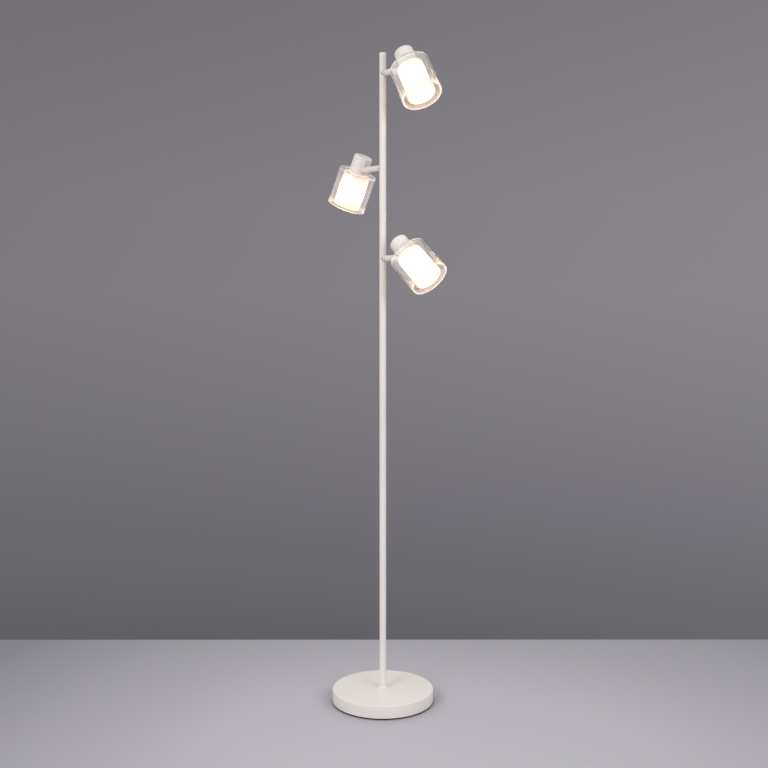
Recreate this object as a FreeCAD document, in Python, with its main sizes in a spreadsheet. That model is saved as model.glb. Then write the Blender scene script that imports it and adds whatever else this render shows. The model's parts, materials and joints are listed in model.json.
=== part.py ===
import FreeCAD, Part
import Sketcher
import math
import os
from types import SimpleNamespace

# Tree floor lamp: a round weighted base, a slim pole in three sections and three
# spot heads on swivelling arms, each with a clear and an opal glass shade.
# Millimetres, +Z up, origin on the floor under the middle of the base.
# At rest the upper and lower arms point to the right and forward (+X, -Y) and the
# middle arm to the left and back.

LEVELS = ("upper", "middle", "lower")

# the driving dimensions, in millimetres and degrees
SIZES = {
    # base
    "padThickness": 3.2,              # non-slip pad under the base
    "padSetback": 6.5,                # pad edge inside the cover edge
    "baseRadius": 118.5,              # outside of the base cover
    "coverHeight": 28.3,              # cover, from its lower edge to its top
    "coverWall": 1.5,                 # sheet thickness of the cover
    "coverEdge": 1.3,                 # rounding of the cover's top edge
    "weightThickness": 12,            # disc of the base weight
    "weightGap": 0.8,                 # weight edge to the inside of the cover
    "weightEdge": 2,                  # bevel on the weight's rim
    "hubRadius": 30,                  # top of the weight's hub, which carries the cover
    "hubDraft": 6,                    # how much wider the hub is at its root
    "recessRoom": 1,                  # rod's end above the pad, in the recess under the weight
    "washerRoom": 4,                  # recess round the washer
    "rodRadius": 5,                   # threaded tube that clamps the base to the pole
    "rodWall": 1.8,                   # wall of the threaded tube
    "rodFit": 0.2,                    # hole clearance round the threaded tube
    "rodEngagement": 24,              # thread of the tube in the pole's foot
    "rodEnd": 0.8,                    # tube past its nut
    "washerRadius": 17,               # washer under the weight
    "washerThickness": 2,             # washer under the weight
    "nutWall": 2,                     # base nut's flats outside the tube
    "nutHeight": 5,                   # base nut
    "glandHeight": 14,                # cord gland above the floor
    "glandBore": 3.2,                 # hole for the cord
    "glandWall": 1.7,                 # neck of the gland, in the cover's hole
    "glandLip": 2.1,                  # flanges of the gland outside its neck
    "glandFlangeThickness": 1.8,      # flanges of the gland
    "glandFit": 0.1,                  # cover's hole round the neck
    "glandFlangeSeat": 0.25,          # inner flange off the cover's curved inside
    "channelWidth": 9,                # cord channel under the weight
    "channelDepth": 8,                # cord channel under the weight
    "notchRoom": 2,                   # notch in the weight's rim, each side of the gland
    "notchDepth": 14,                 # notch in the weight's rim behind the gland
    "collarWidth": 4.85,              # collar round the pole's foot, bore to outside
    "collarHeight": 5,                # collar round the pole's foot
    "collarEdge": 1,                  # rounding of the collar's top edge
    "collarFit": 0.1,                 # collar's bore round the pole
    # pole
    "poleRadius": 7.75,               # outside of the pole
    "poleWall": 1,                    # wall of the pole
    "sectionLength": 480,             # lower and middle pole sections
    "topSectionLength": 506,          # upper pole section
    "insertFit": 0.05,                # inserts inside the pole
    "joinerLength": 60,               # joiner, half in each section
    "joinerWall": 3.2,                # wall of a joiner round its wire way
    "footInsertLength": 40,           # threaded insert in the pole's foot
    "topCapThickness": 2.5,           # disc that closes the pole
    "topCapSpigot": 9,                # its spigot in the pole
    "topCapEdge": 0.9,                # rounding of its edge
    # arms
    "armBearing": 53.5,               # arms turned forward from +X, degrees
    "armAboveJoiner": 9.1,            # lower arm's anchor above the upper joiner
    "armSpacing": 205.4,              # lower arm to middle arm
    "armBelowCap": 25.5,              # upper arm's anchor below the top cap's spigot
    "upperSwivel": 0,                 # arm turned about its own axis at rest, degrees
    "middleSwivel": 6.5,              # arm turned about its own axis at rest, degrees
    "lowerSwivel": 12.8,              # arm turned about its own axis at rest, degrees
    "upperTilt": 32.6,                # head up from straight down at rest, degrees
    "middleTilt": 25.4,               # head up from straight down at rest, degrees
    "lowerTilt": 46.3,                # head up from straight down at rest, degrees
    "anchorLength": 18,               # cross-drilled anchor inside the pole
    "anchorBore": 2.4,                # wire way down through an anchor
    "tailWall": 2,                    # threaded tail of an arm stub, round its wire way
    "tailFit": 0.1,                   # pole's hole round a tail
    "threadFit": 0.05,                # threads, male to female
    "stubLength": 6.25,               # fixed stub of an arm, beyond the pole's surface
    "stubStep": 0.3,                  # stub's surface outside the arm's
    "saddleGap": 0.03,                # stub's saddle off the pole
    "armWireBore": 2,                 # wire way along the arm
    "spigotWall": 2,                  # spigot that the arm turns on, round its wire way
    "spigotSetback": 0.05,            # spigot's end inside the swivel nut
    "frictionWasherInset": 0.9,       # washer's rim inside the arm's surface
    "frictionWasherThickness": 0.8,   # friction washer in the swivel gap
    "swivelFaceGap": 0.1,             # washer to the arm's face
    "swivelFit": 0.06,                # arm's bore round the spigot
    "armWall": 1.4,                   # arm round the chamber of its swivel nut
    "armBearingLength": 10.5,         # length of the arm's bore on the spigot
    "swivelNutWall": 1.1,             # nut that keeps the arm on its spigot
    "swivelNutPlay": 0.3,             # chamber round the swivel nut
    "swivelNutLength": 4,             # nut that keeps the arm on its spigot
    "swivelNutGap": 0.15,             # arm's shoulder to the swivel nut
    "pivotReach": 64.4,               # pole axis to the tilt pivot
    "forkRoot": 7,                    # solid arm between the nut's chamber and the fork
    "forkPlay": 0.2,                  # fork's ears off the lug, each side
    "lugEndGap": 0.6,                 # floor of the fork's slot behind the lug's round end
    "pivotRadius": 2,                 # pivot screw's shank
    "pivotFit": 0.05,                 # holes round the pivot screw
    "pivotSeatDepth": 1.8,            # seat of the screw's head under the arm's surface
    "pivotHeadLip": 1.2,              # screw's head outside its shank
    "pivotHeadGap": 0.3,              # counterbore round that head
    "pivotHeadHeight": 1.5,           # head of the pivot screw
    "pivotEndInset": 1,               # screw's far end under the arm's surface
    "pivotKey": 2.5,                  # across the flats of the screw's key hole
    "pivotKeyDepth": 1,               # depth of the screw's key hole
    # heads, measured from the cap's top towards the mouth
    "lugThickness": 4.6,              # lug between the fork's ears
    "lugRadius": 5.4,                 # round end of the lug
    "lugGap": 0.1,                    # lug in the cap's slot, and its flange off the cap's wall
    "lugFlangeThickness": 1.4,        # flange inside the cap
    "lugFlangePlay": 1.9,             # flange inside the cap off the lampholder's collar
    "lugFlangeSweep": 44,             # flange round the cap, degrees
    "pivotOffset": 7.2,               # tilt pivot outside the cap's side
    "pivotDrop": 24.5,                # tilt pivot below the cap's top
    "glassDrop": 15.3,                # tilt pivot to the cap's mouth, where the clear glass starts
    "capRadius": 21.5,                # outside of the socket cap
    "capWall": 1.2,                   # side wall of the cap
    "capTop": 1.5,                    # top of the cap
    "capEdge": 4.2,                   # rounding of the cap's top edge
    "nippleRadius": 5,                # threaded nipple under the cap's top
    "nippleWall": 1.8,                # nipple round its wire way
    "nippleLip": 3.5,                 # nipple's flange on the cap's top
    "nippleFlangeThickness": 1.5,     # flange of the nipple
    "nippleEndGap": 1.5,              # nipple's end off the floor of the lampholder's thread
    "holderStart": 8,                 # cap's top to the lampholder
    "holderShoulder": 2.9,            # skirt of the lampholder outside its small end
    "holderSlope": 6,                 # length of the lampholder's shoulder
    "holderRadius": 13.9,             # lampholder's threaded skirt
    "holderEndRise": 1.3,             # lampholder's end past the shade ring
    "holderThreadDepth": 10,          # lampholder's thread on the nipple
    "holderCollarGap": 0.4,           # lampholder's collar inside the cap
    "holderCollarThickness": 3.4,     # collar on the clear glass
    "bulbSocketDepth": 24,            # lampholder's bore for the bulb
    "glassHoleGap": 0.4,              # glass round the lampholder's skirt
    "glassGap": 11.1,                 # opal glass to the clear glass
    "clearLength": 86.6,              # clear glass, top to mouth
    "clearWall": 3,                   # clear glass
    "clearEdge": 3.2,                 # rounding of the clear glass's top edge
    "glassRim": 0.7,                  # rounding of the glass rims
    "spacerHeight": 3.3,              # spacer between the glasses
    "spacerWidth": 4.9,               # spacer between the glasses
    "bulbRoom": 5.9,                  # bulb to the opal glass
    "opalLength": 76.4,               # opal glass, top to mouth
    "opalWall": 2.6,                  # opal glass
    "opalEdge": 3,                    # rounding of the opal glass's top edge
    "ringWall": 2.45,                 # shade ring's threaded collar
    "ringLip": 2.6,                   # shade ring's flange outside its collar
    "ringFlange": 1.8,                # thickness of the shade ring's flange
    "ringLength": 7,                  # shade ring, end to end
    "bulbBaseRadius": 7,              # bulb's screw shell
    "bulbBaseFit": 0.2,               # lampholder's bore round the shell
    "bulbBaseLength": 22.2,           # bulb's screw shell
    "bulbTipRadius": 2.4,             # contact on the shell's end
    "bulbTipLength": 2.2,             # contact on the shell's end
    "bulbNeckRadius": 10.5,           # bulb's neck at the shell
    "bulbRadius": 22.5,               # bulb's globe
    "bulbNeckAngle": 48,              # where the neck meets the globe, below its widest circle, degrees
    "bulbHeight": 50.5,               # bulb beyond its shell
}

os.makedirs("parts", exist_ok=True)
document = FreeCAD.newDocument("TreeFloorLamp")
sheet = document.addObject("Spreadsheet::Sheet", "Sizes")
for row, (alias, value) in enumerate(SIZES.items(), start=1):
    sheet.set("A%d" % row, alias)
    sheet.set("B%d" % row, str(value))
    sheet.setAlias("B%d" % row, alias)
document.recompute()


class Size:
    """A length or an angle: its formula for the sheet, and its present value."""

    def __init__(self, formula, value):
        self.formula = formula
        self.value = float(value)

    def __add__(self, other):
        other = size_of(other)
        return Size("(%s + %s)" % (self.formula, other.formula), self.value + other.value)

    def __sub__(self, other):
        other = size_of(other)
        return Size("(%s - %s)" % (self.formula, other.formula), self.value - other.value)

    def __mul__(self, other):
        other = size_of(other)
        return Size("(%s * %s)" % (self.formula, other.formula), self.value * other.value)

    def __truediv__(self, other):
        other = size_of(other)
        return Size("(%s / %s)" % (self.formula, other.formula), self.value / other.value)

    def __neg__(self):
        return Size("(0 - %s)" % self.formula, -self.value)

    def sine(self):
        return Size("sin(%s)" % self.formula, math.sin(math.radians(self.value)))

    def cosine(self):
        return Size("cos(%s)" % self.formula, math.cos(math.radians(self.value)))


def size_of(number):
    return number if isinstance(number, Size) else Size(repr(number), number)


ZERO = size_of(0)
size = SimpleNamespace(**{alias: Size("Sizes." + alias, value) for alias, value in SIZES.items()})

# base, from the sizes above
cover_top = size.padThickness + size.coverHeight
cover_inside = cover_top - size.coverWall
weight_bottom = size.padThickness
weight_radius = size.baseRadius - size.coverWall - size.weightGap
rod_bottom = weight_bottom + size.recessRoom
nut_bottom = rod_bottom + size.rodEnd
recess_top = nut_bottom + size.nutHeight + size.washerThickness
recess_radius = size.washerRadius + size.washerRoom
rod_bore = size.rodRadius - size.rodWall
rod_hole = size.rodRadius + size.rodFit
nut_flats = (size.rodRadius + size.nutWall) * 2
gland_neck = size.glandBore + size.glandWall
gland_flange = gland_neck + size.glandLip
notch_width = (gland_flange + size.notchRoom) * 2
collar_bore = size.poleRadius + size.collarFit
collar_radius = collar_bore + size.collarWidth

# pole
pole_inside = size.poleRadius - size.poleWall
insert_radius = pole_inside - size.insertFit
joiner_bore = insert_radius - size.joinerWall
first_joint = cover_top + size.sectionLength
second_joint = first_joint + size.sectionLength
pole_end = second_joint + size.topSectionLength
overall_height = pole_end + size.topCapThickness

# arms: from the wire way outwards, then along the arm from the pole's axis
tail_radius = size.armWireBore + size.tailWall
spigot_radius = size.armWireBore + size.spigotWall
swivel_nut_radius = spigot_radius + size.swivelNutWall
nut_chamber_radius = swivel_nut_radius + size.swivelNutPlay
arm_radius = nut_chamber_radius + size.armWall
stub_radius = arm_radius + size.stubStep
friction_washer_radius = arm_radius - size.frictionWasherInset
stub_reach = size.poleRadius + size.stubLength
swing_start = stub_reach + size.frictionWasherThickness + size.swivelFaceGap
shoulder = swing_start + size.armBearingLength
spigot_end = shoulder + size.swivelNutGap + size.swivelNutLength - size.spigotSetback
fork_slot = size.lugThickness + size.forkPlay * 2
slot_floor = size.pivotReach - size.lugRadius - size.lugEndGap
chamber_end = slot_floor - size.forkRoot
pivot_hole = size.pivotRadius + size.pivotFit
pivot_seat = arm_radius - size.pivotSeatDepth
pivot_head_radius = size.pivotRadius + size.pivotHeadLip
pivot_end = arm_radius - size.pivotEndInset
lower_arm_height = second_joint + size.joinerLength / 2 + size.armAboveJoiner + size.anchorLength / 2
arm_height = {
    "upper": pole_end - size.topCapSpigot - size.armBelowCap - size.anchorLength / 2,
    "middle": lower_arm_height + size.armSpacing,
    "lower": lower_arm_height,
}
arm_swivel = {"upper": size.upperSwivel, "middle": size.middleSwivel, "lower": size.lowerSwivel}
head_tilt = {"upper": size.upperTilt, "middle": size.middleTilt, "lower": size.lowerTilt}

# heads: down from the cap's top, and outwards
pivot_axis = size.capRadius + size.pivotOffset
cap_length = size.pivotDrop + size.glassDrop
cap_inside = size.capRadius - size.capWall
collar_start = cap_length - size.holderCollarThickness
lug_flange_half = size.glassDrop - size.holderCollarThickness - size.lugFlangePlay
nipple_bore = size.nippleRadius - size.nippleWall
nipple_flange = size.nippleRadius + size.nippleLip
nipple_end = size.holderStart + size.holderThreadDepth - size.nippleEndGap
holder_dome = size.holderRadius - size.holderShoulder
glass_hole = size.holderRadius + size.glassHoleGap
spacer_radius = glass_hole + size.spacerWidth
clear_inner_top = cap_length + size.clearWall
opal_top = clear_inner_top + size.spacerHeight
opal_inner_top = opal_top + size.opalWall
opal_radius = size.bulbRadius + size.bulbRoom + size.opalWall
clear_radius = opal_radius + size.glassGap + size.clearWall
ring_bore = size.holderRadius + size.threadFit
ring_collar = ring_bore + size.ringWall
ring_radius = ring_collar + size.ringLip
holder_end = opal_inner_top + size.ringLength + size.holderEndRise
socket_floor = holder_end - size.bulbSocketDepth
shell_start = socket_floor + size.bulbTipLength + size.threadFit
shell_end = shell_start + size.bulbBaseLength


# ---------------------------------------------------------------- places

frames = document.addObject("App::FeaturePython", "Frames")


def place(name, formula):
    """Name a placement that bodies share, worked out from the sheet."""
    frames.addProperty("App::PropertyPlacement", name)
    frames.setExpression(name, formula)
    document.recompute()
    return "Frames." + name


def shifted(x=ZERO, y=ZERO, z=ZERO):
    return "placement(vector(%s; %s; %s); rotation(vector(0; 0; 1); 0))" % (
        x.formula, y.formula, z.formula)


def turned_about(axis, angle):
    return "placement(vector(0; 0; 0); rotation(vector(%d; %d; %d); %s))" % (
        axis[0], axis[1], axis[2], size_of(angle).formula)


ABOUT_X = (1, 0, 0)
ABOUT_Y = (0, 1, 0)
ABOUT_Z = (0, 0, 1)

gland_place = place("gland", shifted(y=size.baseRadius, z=size.glandHeight)
                    + " * " + turned_about(ABOUT_X, -90))
bearing_of = {"upper": -size.armBearing, "middle": size_of(180) - size.armBearing, "lower": -size.armBearing}
top_section_place = place("topSection", shifted(z=second_joint)
                          + " * " + turned_about(ABOUT_Z, -size.armBearing))
stub_place, swing_place, pivot_place, screw_place, side_place, lamp_place = {}, {}, {}, {}, {}, {}
for level in LEVELS:
    # an arm frame has +X out along the arm; a pivot frame tilts with the head
    arm = place(level + "Arm", shifted(z=arm_height[level])
                + " * " + turned_about(ABOUT_Z, bearing_of[level]))
    stub_place[level] = place(level + "Stub", arm + " * " + turned_about(ABOUT_Y, 90))
    swing = place(level + "Swing", arm + " * " + turned_about(ABOUT_X, arm_swivel[level]))
    swing_place[level] = place(level + "Swivel", swing + " * " + turned_about(ABOUT_Y, 90))
    at_pivot = place(level + "AtPivot", swing + " * " + shifted(x=size.pivotReach))
    screw_place[level] = place(level + "Screw", at_pivot + " * " + turned_about(ABOUT_X, -90))
    pivot_place[level] = place(level + "Pivot", at_pivot + " * " + turned_about(ABOUT_Y, -head_tilt[level]))
    side_place[level] = place(level + "Side", pivot_place[level] + " * " + shifted(x=pivot_axis))
    lamp_place[level] = place(level + "Lamp", side_place[level] + " * " + shifted(z=size.pivotDrop)
                              + " * " + turned_about(ABOUT_X, 180))


# ---------------------------------------------------------------- ways to build

pieces = []


def body_named(label, where=None):
    body = document.addObject("PartDesign::Body", label)
    body.Label = label
    if where:
        body.setExpression("Placement", where)
    pieces.append(body)
    return body


def origin_plane(body, role):
    return [item for item in body.Origin.OriginFeatures if item.Role == role][0]


def sketch_on(body, role, name, offset=None):
    sketch = body.newObject("Sketcher::SketchObject", name)
    sketch.AttachmentSupport = [(origin_plane(body, role), "")]
    sketch.MapMode = "FlatFace"
    if offset is not None:
        sketch.setExpression(".AttachmentOffset.Base.z", offset.formula)
    return sketch


def pin_point(sketch, element, end, x, y, name):
    """Tie one point of a sketch to its two formulas."""
    for kind, where in (("DistanceX", x), ("DistanceY", y)):
        index = sketch.addConstraint(Sketcher.Constraint(kind, -1, 1, element, end, where.value))
        sketch.renameConstraint(index, name + kind[-1])
        sketch.setExpression("Constraints." + name + kind[-1], where.formula)


def outline(sketch, points):
    """A closed outline of straight edges through (x, y) formulas."""
    points = [(size_of(x), size_of(y)) for x, y in points]
    corners = [FreeCAD.Vector(x.value, y.value, 0) for x, y in points]
    count = len(points)
    first = sketch.GeometryCount
    for index in range(count):
        sketch.addGeometry(Part.LineSegment(corners[index], corners[(index + 1) % count]))
    for index in range(count):
        following = first + (index + 1) % count
        sketch.addConstraint(Sketcher.Constraint("Coincident", first + index, 2, following, 1))
    for index, (x, y) in enumerate(points):
        pin_point(sketch, first + index, 1, x, y, "p%d" % (first + index))
    return sketch


def circle(sketch, radius, x=ZERO, y=ZERO):
    radius = size_of(radius)
    element = sketch.addGeometry(Part.Circle(FreeCAD.Vector(x.value, y.value, 0),
                                             FreeCAD.Vector(0, 0, 1), radius.value))
    pin_point(sketch, element, 3, x, y, "c%d" % element)
    index = sketch.addConstraint(Sketcher.Constraint("Radius", element, radius.value))
    sketch.renameConstraint(index, "radius%d" % element)
    sketch.setExpression("Constraints.radius%d" % element, radius.formula)
    return sketch


def hexagon(sketch, flats):
    """A regular hexagon about the origin; its corner radius is flats / sqrt(3)."""
    corner = flats / math.sqrt(3)
    half = flats / 2
    outline(sketch, [(corner, 0), (corner / 2, half), (-(corner / 2), half),
                     (-corner, 0), (-(corner / 2), -half), (corner / 2, -half)])
    return sketch


def turned(body, name, points):
    """Revolve an outline of (radius, height) points about the body's own Z axis."""
    sketch = outline(sketch_on(body, "XZ_Plane", name + "Profile"), points)
    feature = body.newObject("PartDesign::Revolution", name)
    feature.Profile = sketch
    feature.ReferenceAxis = (sketch, ["V_Axis"])
    feature.Angle = 360
    document.recompute()
    return feature


def pad(body, name, sketch, length, midplane=False, reverse=False):
    feature = body.newObject("PartDesign::Pad", name)
    feature.Profile = sketch
    feature.setExpression("Length", size_of(length).formula)
    feature.Midplane = midplane
    feature.Reversed = reverse
    document.recompute()
    return feature


def pocket(body, name, sketch, length=None, midplane=False, reverse=False):
    """Cut a sketch out of the body, through all of it where no length is given."""
    before = body.Shape.Volume
    feature = body.newObject("PartDesign::Pocket", name)
    feature.Profile = sketch
    feature.Midplane = midplane
    feature.Reversed = reverse
    if length is None:
        feature.Type = "ThroughAll"
    else:
        feature.setExpression("Length", size_of(length).formula)
    document.recompute()
    if not body.Shape.Volume < before:
        raise RuntimeError(name + " cuts nothing")
    return feature


def circle_edges(body, radius, height):
    """Names of the full circles of one radius at one height of the body's own Z axis."""
    back = body.Placement.inverse()
    names = []
    for index, edge in enumerate(body.Shape.Edges):
        if edge.Curve.TypeId != "Part::GeomCircle" or abs(edge.Curve.Radius - radius.value) > 1e-4:
            continue
        centre = back.multVec(edge.Curve.Center)
        if abs(centre.z - height.value) < 1e-4:
            names.append("Edge%d" % (index + 1))
    return names


def dressed(body, name, kind, amount, places):
    """Fillet or chamfer the circles listed as (radius, height)."""
    names = []
    for radius, height in places:
        names += circle_edges(body, size_of(radius), size_of(height))
    base = body.Tip
    feature = body.newObject("PartDesign::" + kind, name)
    feature.Base = (base, sorted(set(names)))
    feature.setExpression("Radius" if kind == "Fillet" else "Size", amount.formula)
    document.recompute()
    return feature


# ---------------------------------------------------------------- base

def make_base_pad():
    body = body_named("base_pad")
    pad(body, "PadDisc", circle(sketch_on(body, "XY_Plane", "PadOutline"), size.baseRadius - size.padSetback),
        size.padThickness)


def make_base_weight():
    body = body_named("base_weight")
    plate_top = weight_bottom + size.weightThickness
    turned(body, "Casting", [
        (rod_hole, recess_top), (recess_radius, recess_top), (recess_radius, weight_bottom),
        (weight_radius, weight_bottom), (weight_radius, plate_top - size.weightEdge),
        (weight_radius - size.weightEdge, plate_top), (size.hubRadius + size.hubDraft, plate_top),
        (size.hubRadius, cover_inside), (rod_hole, cover_inside)])
    channel = outline(sketch_on(body, "XY_Plane", "ChannelOutline", weight_bottom), [
        (-(size.channelWidth / 2), 0), (size.channelWidth / 2, 0),
        (size.channelWidth / 2, size.baseRadius), (-(size.channelWidth / 2), size.baseRadius)])
    pocket(body, "CordChannel", channel, size.channelDepth, reverse=True)
    notch_start = weight_radius - size.notchDepth
    notch = outline(sketch_on(body, "XY_Plane", "NotchOutline", weight_bottom), [
        (-(notch_width / 2), notch_start), (notch_width / 2, notch_start),
        (notch_width / 2, size.baseRadius), (-(notch_width / 2), size.baseRadius)])
    pocket(body, "RimNotch", notch, size.coverHeight, reverse=True)


def make_base_cover():
    body = body_named("base_cover")
    turned(body, "Pressing", [
        (rod_hole, cover_inside), (size.baseRadius - size.coverWall, cover_inside),
        (size.baseRadius - size.coverWall, size.padThickness), (size.baseRadius, size.padThickness),
        (size.baseRadius, cover_top), (rod_hole, cover_top)])
    dressed(body, "TopEdge", "Fillet", size.coverEdge, [(size.baseRadius, cover_top)])
    hole = circle(sketch_on(body, "XZ_Plane", "GlandHole"), gland_neck + size.glandFit,
                  y=size.glandHeight)
    pocket(body, "GlandOpening", hole)


def make_base_fasteners():
    body = body_named("base_rod")
    turned(body, "Tube", [
        (rod_bore, rod_bottom), (size.rodRadius, rod_bottom),
        (size.rodRadius, cover_top + size.rodEngagement), (rod_bore, cover_top + size.rodEngagement)])
    body = body_named("base_washer")
    turned(body, "Ring", [
        (rod_hole, recess_top - size.washerThickness), (size.washerRadius, recess_top - size.washerThickness),
        (size.washerRadius, recess_top), (rod_hole, recess_top)])
    body = body_named("base_nut")
    outline_sketch = hexagon(sketch_on(body, "XY_Plane", "NutOutline", nut_bottom), nut_flats)
    circle(outline_sketch, size.rodRadius + size.threadFit)
    pad(body, "Nut", outline_sketch, size.nutHeight)


def make_cord_gland():
    # turned about the axis of its hole; the neck runs in to the cover's inside
    body = body_named("cord_gland", gland_place)
    inner_face = -(size.coverWall + size.glandFlangeSeat)
    thickness = size.glandFlangeThickness
    turned(body, "Grommet", [
        (size.glandBore, inner_face - thickness), (gland_flange, inner_face - thickness),
        (gland_flange, inner_face), (gland_neck, inner_face), (gland_neck, 0), (gland_flange, 0),
        (gland_flange, thickness / 2), (gland_flange - thickness / 2, thickness),
        (size.glandBore, thickness)])


def make_foot_collar():
    body = body_named("foot_collar")
    top = cover_top + size.collarHeight
    turned(body, "Ring", [(collar_bore, cover_top), (collar_radius, cover_top),
                          (collar_radius, top), (collar_bore, top)])
    dressed(body, "TopEdge", "Fillet", size.collarEdge, [(collar_radius, top)])


# ---------------------------------------------------------------- pole

def tube_points(start, end):
    return [(pole_inside, start), (size.poleRadius, start), (size.poleRadius, end), (pole_inside, end)]


def make_pole():
    turned(body_named("pole_lower"), "Tube", tube_points(cover_top, first_joint))
    turned(body_named("pole_middle"), "Tube", tube_points(first_joint, second_joint))
    body = body_named("pole_upper", top_section_place)
    turned(body, "Tube", tube_points(ZERO, pole_end - second_joint))
    for level, side in (("upper", True), ("middle", False), ("lower", True)):
        hole = circle(sketch_on(body, "YZ_Plane", level.capitalize() + "Hole"),
                      tail_radius + size.tailFit, y=arm_height[level] - second_joint)
        pocket(body, level.capitalize() + "Opening", hole, reverse=side)


def make_pole_inserts():
    for label, joint in (("pole_joiner_lower", first_joint), ("pole_joiner_upper", second_joint)):
        half = size.joinerLength / 2
        turned(body_named(label), "Plug", [
            (joiner_bore, joint - half), (insert_radius, joint - half),
            (insert_radius, joint + half), (joiner_bore, joint + half)])
    thread = size.rodRadius + size.threadFit
    end = cover_top + size.footInsertLength
    turned(body_named("foot_insert"), "Plug", [
        (thread, cover_top), (insert_radius, cover_top), (insert_radius, end), (thread, end)])
    body = body_named("pole_top_cap")
    turned(body, "Cap", [
        (0, pole_end - size.topCapSpigot), (insert_radius, pole_end - size.topCapSpigot),
        (insert_radius, pole_end), (size.poleRadius, pole_end), (size.poleRadius, overall_height),
        (0, overall_height)])
    dressed(body, "TopEdge", "Fillet", size.topCapEdge, [(size.poleRadius, overall_height)])


# ---------------------------------------------------------------- arms

def cylinder(name, radius, length, start=ZERO, where=None, lean=None):
    """A plain cylinder along Z from start, in the frame given."""
    item = document.addObject("Part::Cylinder", name)
    item.setExpression("Radius", size_of(radius).formula)
    item.setExpression("Height", size_of(length).formula)
    formula = shifted(z=size_of(start))
    if lean:
        formula = lean + " * " + formula
    if where:
        formula = where + " * " + formula
    item.setExpression("Placement", formula)
    return item


def cut(name, base, tool):
    item = document.addObject("Part::Cut", name)
    item.Base = base
    item.Tool = tool
    document.recompute()
    return item


def group(label, items):
    """Like pieces that share one node, as separate solids."""
    item = document.addObject("Part::Compound", label)
    item.Label = label
    item.Links = items
    document.recompute()
    pieces.append(item)
    return item


def make_stub_anchors():
    anchors = []
    for level in LEVELS:
        name = level.capitalize() + "Anchor"
        half = size.anchorLength / 2
        plug = cylinder(name + "Plug", insert_radius, size.anchorLength, arm_height[level] - half)
        wire_way = cylinder(name + "WireWay", size.anchorBore, size.anchorLength, arm_height[level] - half)
        cross_hole = cylinder(name + "Thread", tail_radius + size.threadFit, size.poleRadius, 0,
                              stub_place[level])
        anchors.append(cut(name, cut(name + "Drilled", plug, wire_way), cross_hole))
    group("stub_anchors", anchors)


def make_rings(label, inner, outer, start, length):
    """The same ring on all three arms, in one node."""
    rings = []
    for level in LEVELS:
        name = level.capitalize() + label.title().replace("_", "")
        disc = cylinder(name + "Disc", outer, length, start, stub_place[level])
        hole = cylinder(name + "Hole", inner, length, start, stub_place[level])
        rings.append(cut(name, disc, hole))
    group(label, rings)


def make_arm_stub(level):
    # the round stub is saddled to the pole first, and gets its tail and spigot after
    body = body_named("arm_stub_" + level, stub_place[level])
    turned(body, "Stub", [(size.armWireBore, 0), (stub_radius, 0), (stub_radius, stub_reach),
                          (size.armWireBore, stub_reach)])
    pole_round = circle(sketch_on(body, "YZ_Plane", "PoleRound"), size.poleRadius + size.saddleGap)
    pocket(body, "Saddle", pole_round, size.baseRadius, midplane=True)
    tail_start = size.anchorBore + size.tailFit
    turned(body, "Tail", [(size.armWireBore, tail_start), (tail_radius, tail_start),
                          (tail_radius, stub_reach), (size.armWireBore, stub_reach)])
    turned(body, "Spigot", [(size.armWireBore, size.poleRadius), (spigot_radius, size.poleRadius),
                            (spigot_radius, spigot_end), (size.armWireBore, spigot_end)])


def make_swivel_arm(level):
    body = body_named("swivel_arm_" + level, swing_place[level])
    bore = spigot_radius + size.swivelFit
    arm_end = size.pivotReach + arm_radius
    turned(body, "Bar", [
        (bore, swing_start), (arm_radius, swing_start), (arm_radius, arm_end),
        (size.armWireBore, arm_end), (size.armWireBore, chamber_end),
        (nut_chamber_radius, chamber_end), (nut_chamber_radius, shoulder), (bore, shoulder)])
    slot = outline(sketch_on(body, "YZ_Plane", "SlotOutline"), [
        (-(fork_slot / 2), slot_floor), (fork_slot / 2, slot_floor),
        (fork_slot / 2, arm_end + arm_radius), (-(fork_slot / 2), arm_end + arm_radius)])
    pocket(body, "ForkSlot", slot, arm_radius * 3, midplane=True)
    # the ears end in a half round about the pivot
    nose = sketch_on(body, "XZ_Plane", "NoseOutline")
    half_round(nose, arm_radius, size.pivotReach)
    pocket(body, "RoundNose", nose, arm_radius * 3, midplane=True)
    pivot = circle(sketch_on(body, "XZ_Plane", "PivotOutline"), pivot_hole, y=size.pivotReach)
    pocket(body, "PivotHole", pivot, arm_radius * 3, midplane=True)
    seat = circle(sketch_on(body, "XZ_Plane", "SeatOutline", -pivot_seat),
                  pivot_head_radius + size.pivotHeadGap, y=size.pivotReach)
    pocket(body, "HeadSeat", seat, arm_radius)


def half_round(sketch, radius, centre):
    """What lies outside a half round of this radius about (0, centre), up to a box round it."""
    outside = radius * 1.5
    corners = [(-radius, centre), (-outside, centre), (-outside, centre + outside),
               (outside, centre + outside), (outside, centre), (radius, centre)]
    points = [FreeCAD.Vector(x.value, y.value, 0) for x, y in corners]
    for start, end in zip(points, points[1:]):
        sketch.addGeometry(Part.LineSegment(start, end))
    middle = FreeCAD.Vector(0, centre.value, 0)
    round_end = Part.ArcOfCircle(Part.Circle(middle, FreeCAD.Vector(0, 0, 1), radius.value), 0, math.pi)
    arc = sketch.addGeometry(round_end)
    for index in range(len(corners) - 2):
        sketch.addConstraint(Sketcher.Constraint("Coincident", index, 2, index + 1, 1))
    sketch.addConstraint(Sketcher.Constraint("Coincident", arc - 1, 2, arc, 1))
    sketch.addConstraint(Sketcher.Constraint("Coincident", arc, 2, 0, 1))
    for index, (x, y) in enumerate(corners[:-1]):
        pin_point(sketch, index, 1, x, y, "p%d" % index)
    pin_point(sketch, arc, 3, ZERO, centre, "centre")
    sketch.addConstraint(Sketcher.Constraint("Horizontal", arc, 1, arc, 2))
    return sketch


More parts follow.
